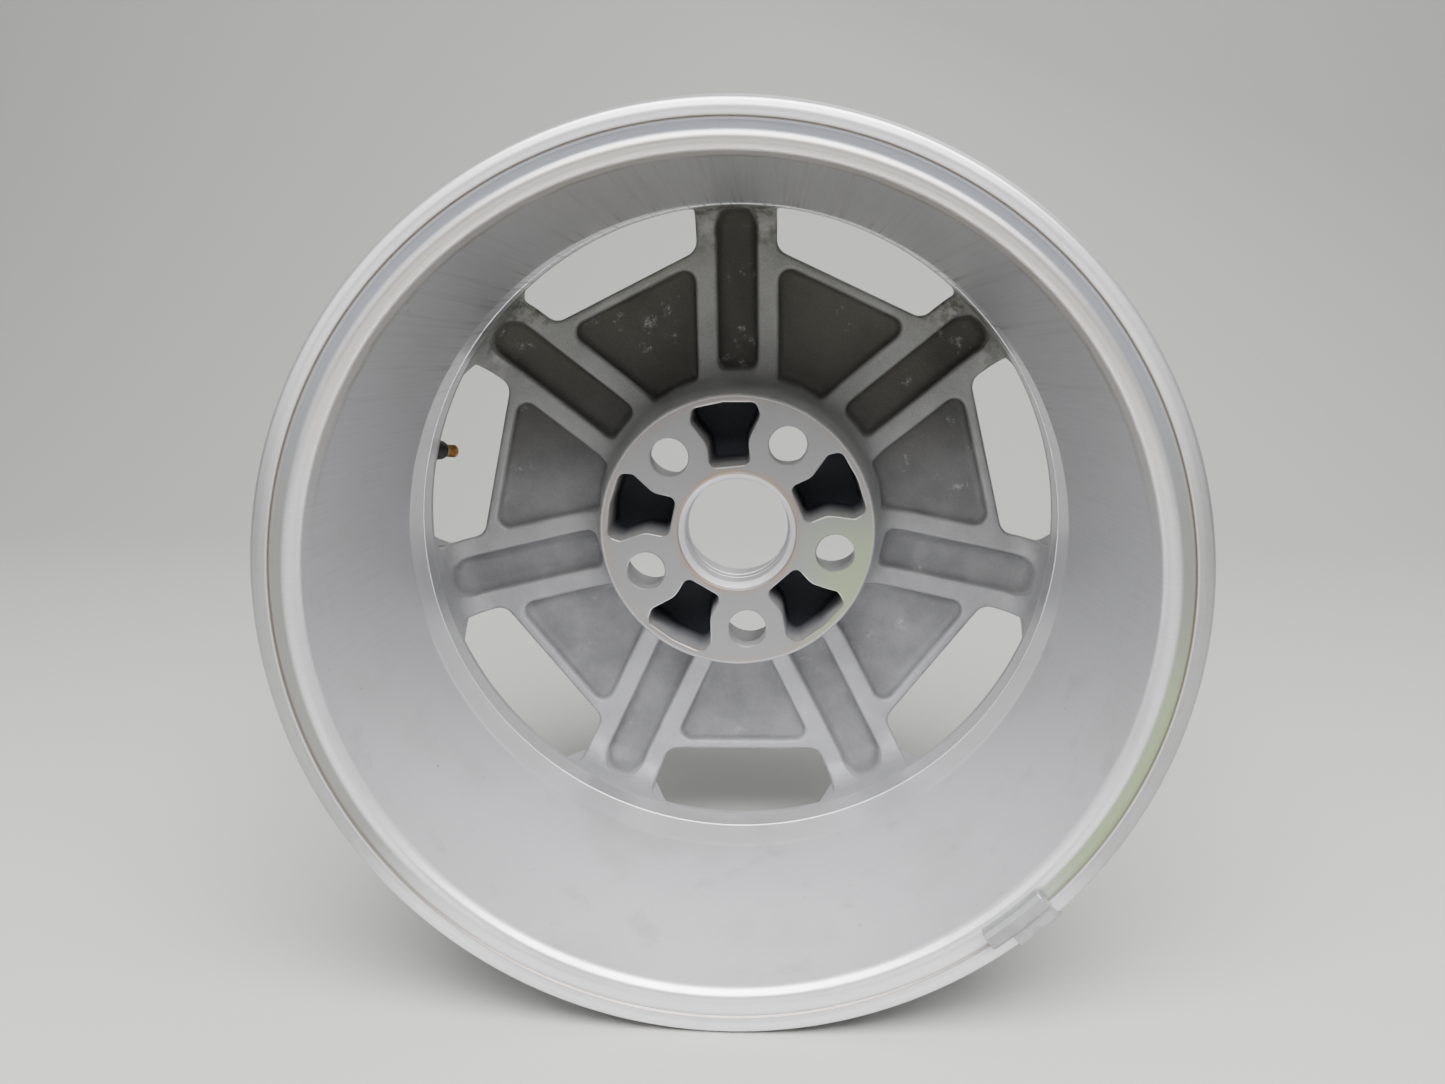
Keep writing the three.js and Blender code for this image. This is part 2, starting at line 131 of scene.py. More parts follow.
def grown(corners, grow):
    """The same anticlockwise polygon with its sides moved out, and its radii to suit."""
    n = len(corners)
    out = []
    for i, (x, y, radius) in enumerate(corners):
        here = np.array([x, y], float)
        d1 = unit(here - corners[i - 1][:2])
        d2 = unit(np.array(corners[(i + 1) % n][:2]) - here)
        n1 = np.array([d1[1], -d1[0]])
        n2 = np.array([d2[1], -d2[0]])
        moved = here + (n1 + n2) * grow / (1 + n1 @ n2)
        convex = d1[0] * d2[1] - d1[1] * d2[0] > 0
        size = radius + grow if convex else radius - grow
        out.append((moved[0], moved[1], max(size, 0.3) if radius > 0 else 0))
    return out


def shifted(loop, grow):
    """A dense anticlockwise loop of points moved out along its normals."""
    along = np.roll(loop, -1, 0) - np.roll(loop, 1, 0)
    along /= np.linalg.norm(along, axis=1)[:, None]
    return loop + grow * np.stack([along[:, 1], -along[:, 0]], 1)


def turned(loop, angle):
    """From a spoke's own plan (across, out) to the wheel's plan (x, z)."""
    a = math.radians(angle)
    u, v = loop[:, 0], loop[:, 1]
    placed = np.stack([v * math.cos(a) + u * math.sin(a), v * math.sin(a) - u * math.cos(a)], 1)
    return placed[::-1]


def circle(radius, count, centre=(0, 0)):
    a = np.arange(count) * 2 * math.pi / count
    return np.stack([centre[0] + radius * np.cos(a), centre[1] + radius * np.sin(a)], 1)


def inside(points, loop):
    """Which points lie inside a closed loop."""
    x, y = points[:, 0][:, None], points[:, 1][:, None]
    x0, y0 = loop[:, 0][None], loop[:, 1][None]
    x1, y1 = np.roll(loop[:, 0], -1)[None], np.roll(loop[:, 1], -1)[None]
    crosses = (y0 > y) != (y1 > y)
    with np.errstate(divide="ignore", invalid="ignore"):
        at = x0 + (y - y0) * (x1 - x0) / (y1 - y0)
    return (crosses & (x < at)).sum(1) % 2 == 1


# ------------------------------------------------------------------ turned profiles


class Profile:
    """A surface of revolution, by distance along it from START; [radius, y] corners."""

    START = 160.0

    def __init__(self, corners, material_side):
        self.points = rounded(corners, 10, 2.0, closed=False)
        steps = np.linalg.norm(np.diff(self.points, axis=0), axis=1)
        along = np.concatenate([[0], np.cumsum(steps)])
        start = np.interp(self.START, self.points[:, 0], along)
        far = along - start + self.START
        self.rho = np.where(self.points[:, 0] < self.START, self.points[:, 0], far)
        self.side = material_side

    def at(self, rho):
        return np.stack([np.interp(rho, self.rho, self.points[:, k]) for k in (0, 1)], 1)

    def inward(self, rho):
        """The direction into the metal, as [radius, y]."""
        d = self.at(rho + 0.2) - self.at(rho - 0.2)
        d /= np.linalg.norm(d, axis=1)[:, None]
        return np.stack([-d[:, 1], d[:, 0]], 1) * self.side

    def place(self, plan, sink=0.0, level=None):
        """Points in space over a plan: sunk into the surface, or at a level of y."""
        rho = np.linalg.norm(plan, axis=1)
        at = self.at(rho) + self.inward(rho) * sink
        if level is not None:
            at = np.stack([self.at(rho)[:, 0], level(rho)], 1)
        return np.stack([plan[:, 0] / rho * at[:, 0], at[:, 1], plan[:, 1] / rho * at[:, 0]], 1)


BACK = Profile([
    (25, 0, 0), (78.4, 0, 2.2), (84.2, RIB_Y, 21), (180.45, RIB_Y, 18), (180.55, 14, 0),
    (182.4, 10.5, 0), (186.5, 16.5, 0), (END_R + 3, 41, 0),
], 1)
FRONT = Profile([
    (25, 55, 0), (76.5, 55, 3), (82.5, FRONT_Y, 4), (184, FRONT_Y, 8), (END_R + 3, 58.6, 0),
], -1)

# ------------------------------------------------------------------ sheets


class Sheet:
    """A triangulated height field over a plan of nested outlines."""

    def __init__(self, profile):
        self.profile = profile
        self.plan = []
        self.space = []
        self.edges = []
        self.count = 0
        self.sunk = []

    def ring(self, loop, sink=0.0, level=None):
        """Adds a closed outline; returns the numbers of its points."""
        first = self.count
        self.plan.append(loop)
        self.space.append(self.profile.place(loop, sink, level))
        self.count += len(loop)
        numbers = list(range(first, self.count))
        self.edges += [(a, numbers[(i + 1) % len(numbers)]) for i, a in enumerate(numbers)]
        if level is not None:
            self.sunk.append(self.space[-1])
        return numbers

    def scatter(self, points, keep_out, clear=1.4):
        """Adds loose points where they are clear of every outline and of keep_out."""
        tree = kdtree.KDTree(self.count)
        for i, p in enumerate(np.concatenate(self.plan)):
            tree.insert((p[0], p[1], 0), i)
        tree.balance()
        near = np.array([tree.find((p[0], p[1], 0))[2] for p in points])
        free = near > clear
        for loop in keep_out:
            free &= ~inside(points, loop)
        points = points[free]
        self.plan.append(points)
        self.space.append(self.profile.place(points))
        self.count += len(points)

    def triangles(self, edge, holes):
        """Points in space and triangles, inside edge and outside the holes."""
        plan = np.concatenate(self.plan)
        space = np.concatenate(self.space)
        verts, _, faces, origin, _, _ = delaunay_2d_cdt(
            [Vector(p) for p in plan], self.edges, [], 0, 1e-4, True
        )
        flat = np.array([tuple(v) for v in verts])
        extra = [i for i, o in enumerate(origin) if not o]
        number = np.array([o[0] if o else -1 for o in origin])
        if extra:
            # points that the triangulation adds where two outlines cross
            number[extra] = len(space) + np.arange(len(extra))
            space = np.concatenate([space, self.profile.place(flat[extra])])
        faces = np.array([f for f in faces if len(f) == 3])
        middle = flat[faces].mean(1)
        keep = inside(middle, edge)
        for hole in holes:
            keep &= ~inside(middle, hole)
        return space, number[faces[keep]]


# ------------------------------------------------------------------ the disc's outlines

AROUND_BOLT = 48
AROUND_BORE = 120


def beside_spoke(offset, out):
    half = math.radians(PITCH / 2)
    return out * math.tan(half) - offset / math.cos(half)


def groove_corners():
    return [
        (-GROOVE_HALF, 88, 5.5), (GROOVE_HALF, 88, 5.5), (GROOVE_HALF, 172, 14),
        (7.2, 185.4, 9), (-7.2, 185.4, 9), (-GROOVE_HALF, 172, 14),
    ]


def web_corners(side=24.0, low=85.3, out=145.0, corner=7.0):
    top = beside_spoke(side, out)
    foot = beside_spoke(side, low)
    return [
        (-foot, low - 1.2, 3.2), (0, low + 0.4, 0), (foot, low - 1.2, 3.2),
        (top, out, corner), (-top, out, corner),
    ]


def pocket_corners():
    return [
        (-11.5, 37.8, 4), (11.5, 37.8, 4), (11.6, 51, 12), (19.8, 64.5, 3.4),
        (18.4, 72.2, 4.6), (0, 74.2, 0), (-18.4, 72.2, 4.6), (-19.8, 64.5, 3.4),
        (-11.6, 51, 12),
    ]


FLARE_START = 181.0
FLARE_END = 200.5
FLARE = 11.5
FLARE_SHOWN = 0.96
BURIED = 6
BURIED_RUN = 3.5
FRONT_NARROWER = 2.2
FRONT_STRAIGHT = 168
FRONT_FLARE_START = 188
FRONT_FLARE = 17
TIP_SHARE = 0.93
SIDE_STEPS = [166, 171, 176, 180, 183, 185.5, 188, 190.3, 192.5, 194.5, 196.3, 197.9, 199.3,
              200.6, 202.2, 204.5, 208.5, 213.8, 222, 232, 238]


def side_width(rho):
    """Half the spoke's width: a round flare at the rim, then a tail buried in its wall."""
    share = max(0, (rho - FLARE_START) / (FLARE_END - FLARE_START))
    flare = FLARE * (1 - math.sqrt(1 - min(share, FLARE_SHOWN) ** 2))
    beyond = max(0, share - FLARE_SHOWN) * (FLARE_END - FLARE_START)
    return HALF_WIDTH + flare + BURIED * (1 - math.exp(-beyond / BURIED_RUN))


def star_outline(front=False):
    """The disc's outer edge: spokes, and the inner edges of the windows between them.

    The back and front outlines have the same number of points, in the same order."""
    end = BACK.rho[-1] - 4
    loops = []
    tilt = math.radians(PITCH / 2)
    half = HALF_WIDTH - (FRONT_NARROWER if front else 0)
    corner_v = (WINDOW_IN - half * math.sin(tilt)) / math.cos(tilt)
    for i in range(SPOKES):
        side = []
        for rho in SIDE_STEPS:
            radius = BACK.at(np.array([rho]))[0, 0]
            width = side_width(rho)
            out = rho
            if front:
                share = max(0, (rho - FRONT_STRAIGHT) / (end - FRONT_STRAIGHT))
                out = radius = min(rho, FRONT_STRAIGHT) + share * (END_R - FRONT_STRAIGHT)
                flared = max(0, (out - FRONT_FLARE_START) / (END_R - FRONT_FLARE_START))
                width = half + FRONT_FLARE * flared ** 2
            phi = math.asin(width / radius)
            side.append((out * math.sin(phi), out * math.cos(phi)))
        far = END_R if front else end
        tips = np.linspace(TIP_SHARE * phi, -TIP_SHARE * phi, 9)
        arc = [(far * math.sin(t), far * math.cos(t)) for t in tips]
        middle = np.array([WINDOW_IN * math.sin(tilt), WINDOW_IN * math.cos(tilt)])
        bend = rounded([
            (*middle, 0), (half, corner_v, 9), (half, 166, 0),
        ], 8, 400, closed=False)[1:-1]
        chord = [middle + (bend[0] - middle) * k / 7 for k in range(7)]
        right = [*chord, *bend, *side]
        left = [(-u, v) for u, v in right[::-1]][:-1]
        a = math.radians(SPOKE_PHASE + i * PITCH)
        for u, v in [*right, *arc, *left]:
            loops.append((v * math.cos(a) + u * math.sin(a), v * math.sin(a) - u * math.cos(a)))
    return np.array(loops)


def spoke_angles(between=False):
    return [SPOKE_PHASE + (i + (0.5 if between else 0)) * PITCH for i in range(SPOKES)]


def pocket_angles():
    return [POCKET_PHASE + BOLT_PITCH * i for i in range(BOLTS)]


def bolt_centres():
    angles = [math.radians(BOLT_PHASE + BOLT_PITCH * i) for i in range(BOLTS)]
    return [(BOLT_R * math.cos(a), BOLT_R * math.sin(a)) for a in angles]


def cut_rings(sheet, corners, angles, rings, steps=6, gap=6.0):
    """Sinks a pocket at each angle by nested rings; returns the outermost outlines."""
    outer = []
    for angle in angles:
        for k, (grow, sink, level) in enumerate(rings):
            loop = turned(rounded(grown(corners, grow), steps, gap), angle)
            sheet.ring(loop, sink, level)
            if k == 0:
                outer.append(loop)
    return outer


def at_level(y):
    return lambda rho: np.full(len(rho), float(y))


def groove_level(lift):
    """The groove's floor, which scoops up towards its outer end."""
    return lambda rho: GROOVE_Y - lift - 0.018 * np.maximum(0, rho - 160) ** 2


def back_sheet():
    sheet = Sheet(BACK)
    star = star_outline()
    rim = sheet.ring(star, 1.9)
    for grow, sink in ((-0.35, 0.95), (-1.05, 0.3), (-2.1, 0.0)):
        sheet.ring(shifted(star, grow), sink)
    grooves = cut_rings(sheet, groove_corners(), spoke_angles(), [
        (2.0, 0, None), (1.0, 0.25, None), (0.3, 0.8, None), (0, 1.6, None),
        (-0.8, 0, groove_level(4.6)), (-1.6, 0, groove_level(2.6)),
        (-2.9, 0, groove_level(1.1)), (-4.6, 0, groove_level(0.3)), (-7.0, 0, groove_level(0)),
    ], 7)
    webs = cut_rings(sheet, web_corners(), spoke_angles(True), [
        (2.0, 0, None), (1.0, 0.25, None), (0.3, 0.8, None), (0, 1.6, None),
        (-0.7, 0, at_level(WEB_Y - 3.6)), (-1.3, 0, at_level(WEB_Y - 2)),
        (-2.3, 0, at_level(WEB_Y - 0.8)), (-3.8, 0, at_level(WEB_Y - 0.15)),
        (-5.2, 0, at_level(WEB_Y)),
    ], 6)
    pockets = cut_rings(sheet, pocket_corners(), pocket_angles(), [
        (0.9, 0, None), (0.45, 0.12, None), (0, 0.6, None),
        (-0.9, 0, at_level(POCKET_Y - 3)), (-1.5, 0, at_level(POCKET_Y - 1.1)),
        (-2.5, 0, at_level(POCKET_Y)),
    ], 5)
    for radius in (75.9, 76.5, 77.2, 77.9, 78.5, 79.0, 80.6, 82.0):
        sheet.ring(circle(radius, 168))
    holes = []
    lugs = []
    for centre in bolt_centres():
        sheet.ring(circle(LUG_R + 1.0, AROUND_BOLT, centre))
        sheet.ring(circle(LUG_R + 0.6, AROUND_BOLT, centre), 0.02)
        edge = circle(LUG_R, AROUND_BOLT, centre)
        lugs.append(sheet.ring(edge, 0.6))
        holes.append(edge)
    sheet.ring(circle(BORE_R + 1.3, AROUND_BORE))
    sheet.ring(circle(BORE_R + 0.4, AROUND_BORE), 0.05)
    edge = circle(BORE_R, AROUND_BORE)
    bore = sheet.ring(edge, 0.35)
    holes.append(edge)
    loose = [circle(radius, 180) for radius in (84, 86.5, 89, 91.5, 94, 97, 100, 104)]
    for radius in (158, 162.5, 165, 168, 171, 174, 177, 180, 183, 186, 188.5, 190.8,
                   196, 203, 209.8, 213.8, 221, 234):
        loose.append(circle(radius, 300))
    sheet.scatter(np.concatenate(loose), [*grooves, *webs, *pockets])
    space, faces = sheet.triangles(star, holes)
    return space, faces, rim, lugs, bore, np.concatenate(sheet.sunk)


def front_sheet():
    sheet = Sheet(FRONT)
    star = star_outline(front=True)
    rim = sheet.ring(star, 3.0)
    for grow, sink in ((-0.4, 1.5), (-1.1, 0.45), (-2.0, 0.0)):
        sheet.ring(shifted(star, grow), sink)
    panels = cut_rings(sheet, web_corners(27.0, 96.0, 145.5, 8.0), spoke_angles(True), [
        (1.6, 0, None), (0.7, 0.25, None), (0, 0.9, None),
        (-0.8, 2.2, None), (-1.8, 2.7, None), (-3.0, 2.8, None),
    ], 6)
    for radius in (74.5, 75.3, 76.2, 77.4, 81.0, 82.6, 84.2, 85.4):
        sheet.ring(circle(radius, 168))
    holes = []
    wells = []
    for centre in bolt_centres():
        sheet.ring(circle(WELL_R + 1.3, AROUND_BOLT, centre))
        sheet.ring(circle(WELL_R + 0.5, AROUND_BOLT, centre), 0.3)
        edge = circle(WELL_R, AROUND_BOLT, centre)
        wells.append(sheet.ring(edge, 1.0))
        holes.append(edge)
    sheet.ring(circle(RECESS_R + 1.3, AROUND_BORE))
    sheet.ring(circle(RECESS_R + 0.5, AROUND_BORE), 0.3)
    edge = circle(RECESS_R, AROUND_BORE)
    recess = sheet.ring(edge, 1.0)
    holes.append(edge)
    loose = [circle(radius, 180) for radius in (92, 112, 130, 150, 170, 184, 188, 192)]
    sheet.scatter(np.concatenate(loose), panels)
    space, faces = sheet.triangles(star, holes)
    return space, faces, rim, wells, recess


# ------------------------------------------------------------------ meshes


def to_row(points):
    """From millimetres off the pad to metres in the frame."""
    moved = np.array(points, float)
    moved[:, 1] += PAD_Y
    return moved * MM


def mesh_object(name, points, faces):
    mesh = bpy.data.meshes.new(name)
    mesh.from_pydata([tuple(p) for p in points], [], [tuple(int(i) for i in f) for f in faces])
    mesh.validate()
    made = bpy.data.objects.new(name, mesh)
    bpy.context.scene.collection.objects.link(made)
    work = bmesh.new()
    work.from_mesh(mesh)
    bmesh.ops.delete(work, geom=[v for v in work.verts if not v.link_faces], context="VERTS")
    bmesh.ops.recalc_face_normals(work, faces=work.faces)
    if work.calc_volume(signed=True) < 0:
        bmesh.ops.reverse_faces(work, faces=work.faces)
    work.to_mesh(mesh)
    work.free()
    return made


def strip(faces, first, second):
    n = len(first)
    for i in range(n):
        j = (i + 1) % n
        faces.append((first[i], first[j], second[j], second[i]))


def join_rows(faces, rows):
    """Walls from each closed row of points to the next."""
    for first, second in zip(rows, rows[1:]):
        strip(faces, first, second)


def turned_faces(n, around):
    """The faces of a closed profile of n points, repeated around an axis."""
    faces = []
    for k in range(around):
        here, there = k * n, (k + 1) % around * n
        for i in range(n):
            j = (i + 1) % n
            faces.append((here + i, here + j, there + j, there + i))
    return faces


def beside_axis(matrix, radius, angle, height):
    """A point off a matrix's own Z axis: millimetres in, metres out."""
    local = Vector((radius * math.cos(angle) * MM, radius * math.sin(angle) * MM, height * MM))
    return tuple(matrix @ local)


def ring_points(radius, y, count, centre=(0, 0)):
    loop = circle(radius, count, centre)
    return np.stack([loop[:, 0], np.full(count, float(y)), loop[:, 1]], 1)


def disc_object():
    back, back_faces, back_rim, lugs, bore, sunk = back_sheet()
    front, front_faces, front_rim, wells, recess = front_sheet()
    shift = len(back)
    blocks = [back, front]
    faces = [tuple(f) for f in back_faces] + [tuple(f + shift) for f in front_faces]
    total = len(back) + len(front)

    def add_ring(points):
        nonlocal total
        blocks.append(points)
        numbers = list(range(total, total + len(points)))
        total += len(points)
        return numbers

    # the side walls, with two rows between the back edge and the front edge
    low = back[back_rim]
    high = front[front_rim]
    rows = [list(back_rim)]
    for share in (0.33, 0.67):
        rows.append(add_ring(low + (high - low) * share))
    rows.append([k + shift for k in front_rim])
    join_rows(faces, rows)
    # bolt holes: straight, then a conical seat, then the nut's well
    for centre, lug, well in zip(bolt_centres(), lugs, wells):
        rows = [lug]
        for radius, y in ((LUG_R, 9.8), (11.1, 10.4), (16.4, 19.6), (WELL_R, 20.8)):
            rows.append(add_ring(ring_points(radius, y, AROUND_BOLT, centre)))
        rows.append([k + shift for k in well])
        join_rows(faces, rows)
    # the stepped centre bore
    rows = [bore]
    for radius, y in ((30.5, 3.6), (30.05, 4.3), (30.05, 13.4), (29.6, 13.7), (29.1, 14.4),
                      (29, 15.2), (29, 16.6), (28.7, 16.8), (28.7, 17.6), (29, 17.8),
                      (29, 22.8), (33, 25.5), (33.5, 26.5), (33.5, 50), (RECESS_R, 52)):
        rows.append(add_ring(ring_points(radius, y, AROUND_BORE)))
    rows.append([k + shift for k in recess])
    join_rows(faces, rows)
    return mesh_object("disc", to_row(np.concatenate(blocks)), faces), to_row(sunk)


AROUND = 360


def lathe(name, corners, steps=5, gap=60.0, around=AROUND):
    """A closed ring about the axle from [radius, y, corner radius] corners."""
    profile = rounded(corners, steps, gap)
    points = []
    for k in range(around):
        a = 2 * math.pi * k / around
        points += [(r * math.cos(a), y, r * math.sin(a)) for r, y in profile]
    return mesh_object(name, to_row(points), turned_faces(len(profile), around))


def rim_object():
    b = BACK_FACE
    bead = b + 7
    return lathe("wheel_casting", [
        # inside: tapering barrel, drop centre, step, band, slope, outboard lip
        (180.2, -26.5, 8), (181.2, -20.5, 8), (180.95, 3.6, 0.25),
        (180.5, 4.1, 0.25), (180.5, 24, 2.2), (196, 40.5, 5), (196, 58.8, 2),
        (204.2, 61.8, 2), (206.6, FACE, 1.0),
        # outboard flange, bead seat and hump
        (216, FACE, 3), (RIM_R, FACE - 3.6, 2.2), (219, FACE - 7, 1.5), (208, FACE - 7, 4),
        (202.8, FACE - 13.4, 5), (201.2, 38.8, 3), (202.8, 34.6, 2),
        # outside of the drop centre and of the barrel
        (186.2, 12.6, 6), (186.2, -28.6, 8), (195.6, b + 44.5, 8),
        # inboard hump, bead seat and flange
        (202.8, b + 32, 2), (201.2, b + 27, 3), (202.8, b + 13.4, 5), (208, bead, 4),
        (219, bead, 1.5), (RIM_R, b + 4.2, 2.2),
        # its face: a rounded lip, a step, a shallow channel, and a crest before the barrel
        (218.4, b + 0.9, 2.6), (214.4, b + 0.02, 5), (211.2, b + 1.0, 0.5),
        (210.8, b + 2.3, 0.35), (209.6, b + 2.75, 1.2), (205.6, b + 2.9, 4),
        (201.6, b + 1.3, 4), (197.3, b + 5.6, 6),
    ], 7)


def boolean(target, other, kind):
    cut = target.modifiers.new("join", "BOOLEAN")
    cut.object = other
    cut.operation = kind
    cut.solver = "MANIFOLD"
    bpy.context.view_layer.objects.active = target
    before = len(target.data.polygons)
    bpy.ops.object.modifier_apply(modifier=cut.name)
    if len(target.data.polygons) == before:
        raise RuntimeError("boolean changed nothing")
    bpy.data.objects.remove(other)


# ------------------------------------------------------------------ the valve's frame


def valve_frame():
    """Origin on the wall at the valve's hole, +Z towards the valve's tip, in metres."""
    axis = -Vector(frame["joints"][0]["axis"]).normalized()
    low, high = [Vector(v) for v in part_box("valve_core_pin")]
    middle = (low + high) / 2
    pin_low, pin_high = 1.4, 19.7
    origin = middle - axis * (pin_low + pin_high) / 2 * MM
    side = Vector((0, 1, 0)).cross(-axis).normalized()
    third = axis.cross(side)
    turn = Matrix((side, third, axis)).transposed().to_4x4()
    return Matrix.Translation(origin) @ turn


VALVE = valve_frame()


def spun(name, corners, matrix, steps=4, around=64, gap=60.0):
    """A closed ring about a local Z axis, from (radius, height, corner radius) corners."""
    profile = rounded(corners, steps, gap)
    points = []
    for k in range(around):
        a = 2 * math.pi * k / around
        points += [beside_axis(matrix, r, a, h) for r, h in profile]
    return mesh_object(name, points, turned_faces(len(profile), around))


def plug(name, profile, matrix, around=64):
    """A closed solid about a local Z axis; its profile starts and ends on the axis."""
    points = [beside_axis(matrix, 0, 0, profile[0][1])]
    inner = profile[1:-1]
    for r, h in inner:
        for k in range(around):
            a = 2 * math.pi * k / around
            points.append(beside_axis(matrix, r, a, h))
    points.append(beside_axis(matrix, 0, 0, profile[-1][1]))
    faces = [(0, 1 + k, 1 + (k + 1) % around) for k in range(around)]
    for i in range(len(inner) - 1):
        a, b = 1 + i * around, 1 + (i + 1) * around
        strip(faces, list(range(a, a + around)), list(range(b, b + around)))
    last = 1 + (len(inner) - 1) * around
    faces += [(last + (k + 1) % around, last + k, len(points) - 1) for k in range(around)]
    return mesh_object(name, points, faces)


VALVE_HOLE_R = 5.95
SPOT_FACE_R = 8.8


def wheel_casting():
    """The rim and the disc as one, with the valve's hole and a spot face round it."""
    wheel = rim_object()
    disc, sunk = disc_object()
    boolean(wheel, disc, "UNION")
    hole = plug("hole", [
        (0, -24), (11, -24), (11, -4.6), (VALVE_HOLE_R, -4.4), (VALVE_HOLE_R, 0),
        (SPOT_FACE_R, 0.02), (SPOT_FACE_R, 9), (0, 9),
    ], VALVE)
    boolean(wheel, hole, "DIFFERENCE")
    tree = kdtree.KDTree(len(sunk))
    for i, p in enumerate(sunk):
        tree.insert(p, i)
    tree.balance()
    marks = [1.0 if tree.find(v.co)[2] < 0.05 * MM else 0.0 for v in wheel.data.vertices]
    wheel.data.attributes.new("recess", "FLOAT", "POINT").data.foreach_set("value", marks)
    return wheel


def smooth(piece, angle=32):
    piece.data.shade_smooth()
    piece.data.set_sharp_from_angle(angle=math.radians(angle))
    weigh = piece.modifiers.new("weigh", "WEIGHTED_NORMAL")
    weigh.keep_sharp = True
    weigh.weight = 60


wheel = wheel_casting()
smooth(wheel)
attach(wheel, "wheel")
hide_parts("wheel_body")

# ------------------------------------------------------------------ looks


class Look:
    """A node material, put together by short calls."""

    def __init__(self, name, metallic, color=(0.5, 0.5, 0.5)):
        self.material = bpy.data.materials.new(name)
        self.material.use_nodes = True
        self.tree = self.material.node_tree
        self.shader = self.tree.nodes["Principled BSDF"]
        self.set("Metallic", metallic)
        self.set("Base Color", (*color, 1))
        self.place = self.node("TexCoord", out=3)

    def set(self, socket, value):
        self.feed(self.shader.inputs[socket], value)

    def feed(self, socket, value):
        if isinstance(value, bpy.types.NodeSocket):
            self.tree.links.new(value, socket)
        elif value is not None:
            if isinstance(value, tuple) and len(value) == 3 and len(socket.default_value) == 4:
                value = (*value, 1)
            socket.default_value = value

    def node(self, kind, *inputs, out=0, **settings):
        made = self.tree.nodes.new("ShaderNode" + kind)
        for key, value in settings.items():
            setattr(made, key, value)
        for socket, value in zip(made.inputs, inputs):
            self.feed(socket, value)
        return made.outputs[out]

    def math(self, operation, a, b=None, c=None):
        return self.node("Math", a, b, c, operation=operation)

    def step(self, value, low, high, to_low=0.0, to_high=1.0):
        """Runs smoothly from to_low to to_high as value goes from low to high."""
        return self.node("MapRange", value, low, high, to_low, to_high, None,
                         interpolation_type="SMOOTHSTEP")

    def noise(self, where, scale, detail=3.0, rough=0.55):
        made = self.node("TexNoise")
        node = made.node
        self.feed(node.inputs["Vector"], where)
        node.inputs["Scale"].default_value = scale
        node.inputs["Detail"].default_value = detail
        node.inputs["Roughness"].default_value = rough
        return made

    def blend(self, share, a, b):
        made = self.tree.nodes.new("ShaderNodeMix")
        made.data_type = "RGBA"
        self.feed(made.inputs[0], share)
        self.feed(made.inputs[6], a)
        self.feed(made.inputs[7], b)
        return made.outputs[2]

    def lift(self, height, distance, strength=1.0, under=None):
        """A bump of this height in millimetres; returns the normal."""
        made = self.tree.nodes.new("ShaderNodeBump")
        made.inputs["Distance"].default_value = distance * MM
        made.inputs["Strength"].default_value = strength
        self.feed(made.inputs["Height"], height)
        self.feed(made.inputs["Normal"], under)
        return made.outputs["Normal"]

    def vector(self, x, y, z=0.0):
        return self.node("CombineXYZ", x, y, z)


